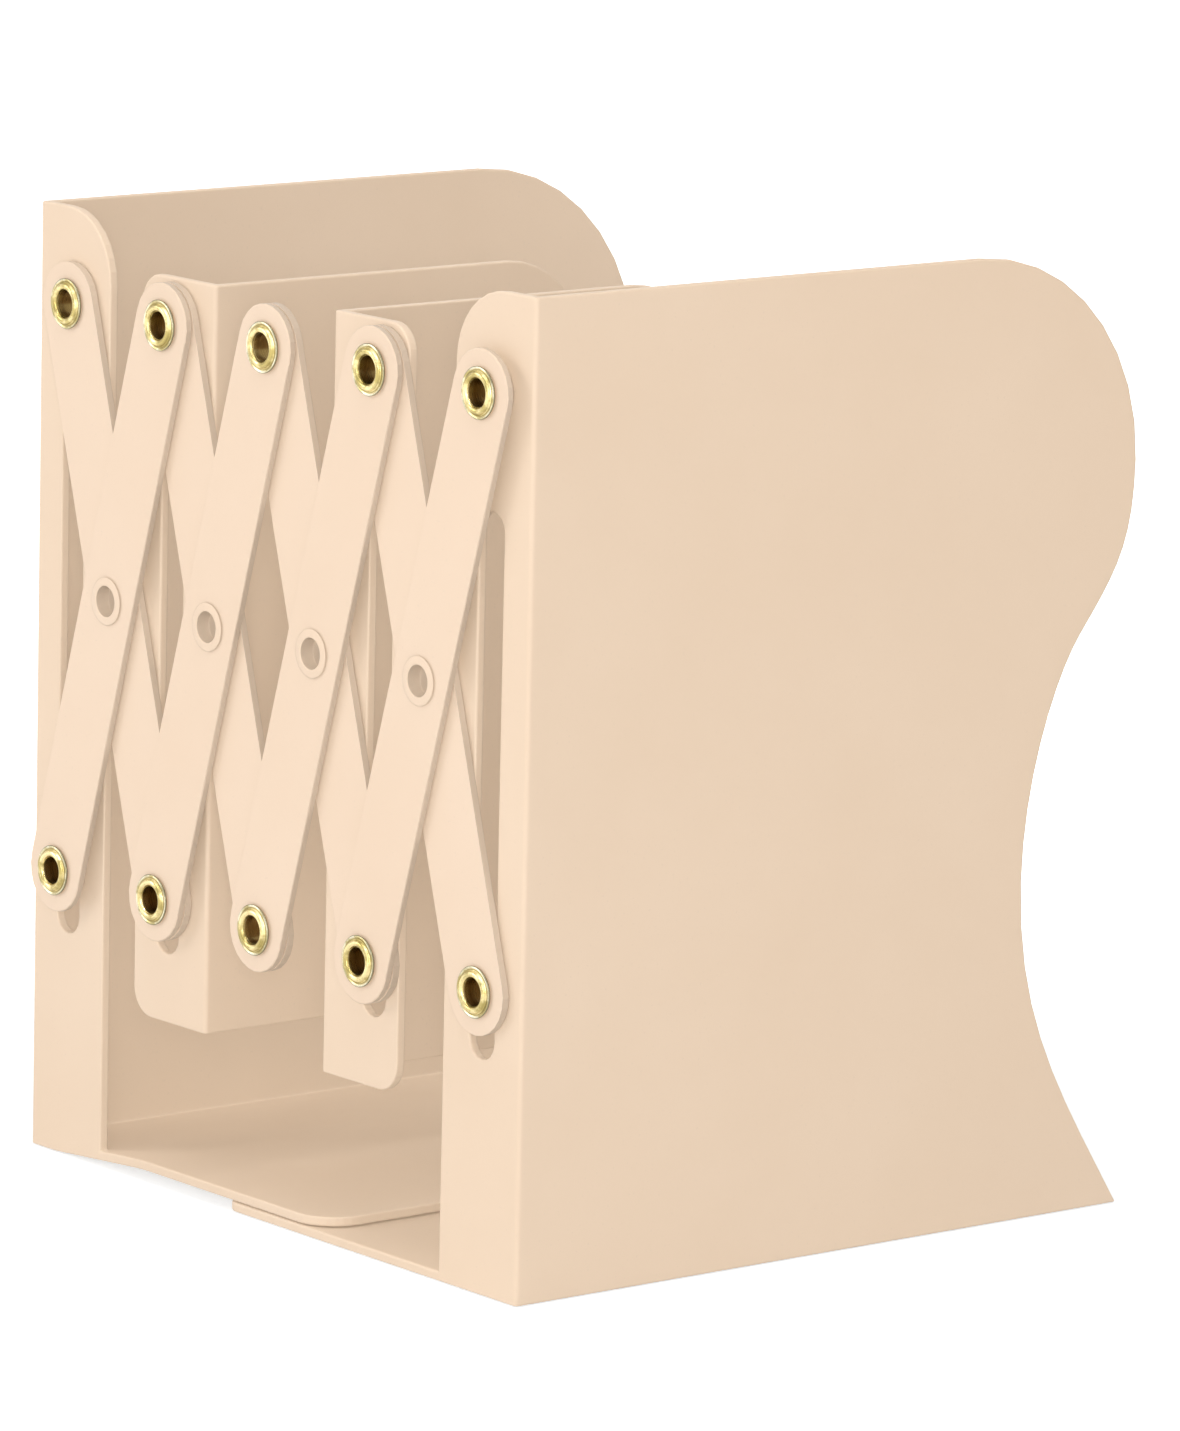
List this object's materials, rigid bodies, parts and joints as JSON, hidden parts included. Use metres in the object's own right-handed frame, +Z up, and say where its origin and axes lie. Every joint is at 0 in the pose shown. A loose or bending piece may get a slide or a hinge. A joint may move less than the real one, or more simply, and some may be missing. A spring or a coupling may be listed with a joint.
{
  "type": "expandable desk bookend",
  "caption": "Expandable desk bookend: end plates with a wavy back edge and hanging dividers ride on an accordion linkage of crossed bars, over flat feet that slide one on the other.",
  "frame": {"origin": "on the desk, under the middle of the overall box of the bookend at its pictured width", "axes": "+X along the row of books towards the right end plate, +Y from the linkage to the back of the books, +Z up"},
  "size_m": [0.166, 0.1628, 0.2],
  "materials": {
    "coated_sheet": "warm beige powder coat, satin, fine even texture",
    "coated_bar": "warm beige powder coat, satin",
    "coated_rivet": "warm beige coat over a pressed rivet head",
    "brass": "polished rolled brass",
    "zinc_washer": "zinc plated"
  },
  "bodies": {
    "right_plate": {"right_end_plate": "coated_sheet", "top_eyelet_5": "brass", "top_spacer_5": "coated_bar"},
    "front_bar_4": {"front_bar_4": "coated_bar", "centre_rivet_4": "coated_rivet", "bottom_eyelet_4": "brass", "slot_washer_4": "zinc_washer"},
    "back_bar_4": {"back_bar_4": "coated_bar", "bottom_eyelet_5": "brass", "slot_washer_5": "zinc_washer"},
    "right_divider": {"right_divider": "coated_sheet", "top_eyelet_4": "brass"},
    "front_bar_3": {"front_bar_3": "coated_bar", "centre_rivet_3": "coated_rivet", "bottom_eyelet_3": "brass"},
    "back_bar_3": {"back_bar_3": "coated_bar", "top_eyelet_3": "brass"},
    "front_bar_2": {"front_bar_2": "coated_bar", "centre_rivet_2": "coated_rivet", "bottom_eyelet_2": "brass", "slot_washer_2": "zinc_washer"},
    "back_bar_2": {"back_bar_2": "coated_bar"},
    "left_divider": {"left_divider": "coated_sheet", "top_eyelet_2": "brass"},
    "front_bar_1": {"front_bar_1": "coated_bar", "centre_rivet_1": "coated_rivet", "bottom_eyelet_1": "brass", "slot_washer_1": "zinc_washer", "bottom_spacer_1": "coated_bar"},
    "back_bar_1": {"back_bar_1": "coated_bar"},
    "left_plate": {"left_end_plate": "coated_sheet", "top_eyelet_1": "brass"}
  },
  "joints": [
    {"name": "linkage_fold", "type": "hinge", "parent": "right_plate", "child": "front_bar_4", "pos_m": [0.0705, -0.07655, 0.1802], "axis": [0, 1, 0], "range_deg": [-2.5, 60.5]},
    {"name": "crossing_4", "type": "hinge", "parent": "front_bar_4", "child": "back_bar_4", "pos_m": [0.05287, -0.07655, 0.12076], "axis": [0, 1, 0], "range_deg": [-121.5, 5.5]},
    {"name": "right_divider_hang", "type": "hinge", "parent": "back_bar_4", "child": "right_divider", "pos_m": [0.03525, -0.07655, 0.1802], "axis": [0, 1, 0], "range_deg": [-3, 61]},
    {"name": "top_pivot_4", "type": "hinge", "parent": "back_bar_4", "child": "front_bar_3", "pos_m": [0.03525, -0.07655, 0.1802], "axis": [0, 1, 0], "range_deg": [-5.5, 121.5]},
    {"name": "crossing_3", "type": "hinge", "parent": "front_bar_3", "child": "back_bar_3", "pos_m": [0.01762, -0.07655, 0.12076], "axis": [0, 1, 0], "range_deg": [-121.5, 5.5]},
    {"name": "top_pivot_3", "type": "hinge", "parent": "back_bar_3", "child": "front_bar_2", "pos_m": [0, -0.07655, 0.1802], "axis": [0, 1, 0], "range_deg": [-5.5, 121.5]},
    {"name": "crossing_2", "type": "hinge", "parent": "front_bar_2", "child": "back_bar_2", "pos_m": [-0.01762, -0.07655, 0.12076], "axis": [0, 1, 0], "range_deg": [-121.5, 5.5]},
    {"name": "left_divider_hang", "type": "hinge", "parent": "back_bar_2", "child": "left_divider", "pos_m": [-0.03525, -0.07655, 0.1802], "axis": [0, 1, 0], "range_deg": [-3, 61]},
    {"name": "top_pivot_2", "type": "hinge", "parent": "back_bar_2", "child": "front_bar_1", "pos_m": [-0.03525, -0.07655, 0.1802], "axis": [0, 1, 0], "range_deg": [-5.5, 121.5]},
    {"name": "crossing_1", "type": "hinge", "parent": "front_bar_1", "child": "back_bar_1", "pos_m": [-0.05287, -0.07655, 0.12076], "axis": [0, 1, 0], "range_deg": [-121.5, 5.5]},
    {"name": "left_plate_hang", "type": "hinge", "parent": "back_bar_1", "child": "left_plate", "pos_m": [-0.0705, -0.07655, 0.1802], "axis": [0, 1, 0], "range_deg": [-3, 61]}
  ],
  "couplings": [
    {"joint": "crossing_4", "follows": "linkage_fold", "ratio": -2},
    {"joint": "right_divider_hang", "follows": "linkage_fold", "ratio": 1},
    {"joint": "top_pivot_4", "follows": "linkage_fold", "ratio": 2},
    {"joint": "crossing_3", "follows": "linkage_fold", "ratio": -2},
    {"joint": "top_pivot_3", "follows": "linkage_fold", "ratio": 2},
    {"joint": "crossing_2", "follows": "linkage_fold", "ratio": -2},
    {"joint": "left_divider_hang", "follows": "linkage_fold", "ratio": 1},
    {"joint": "top_pivot_2", "follows": "linkage_fold", "ratio": 2},
    {"joint": "crossing_1", "follows": "linkage_fold", "ratio": -2},
    {"joint": "left_plate_hang", "follows": "linkage_fold", "ratio": 1}
  ]
}
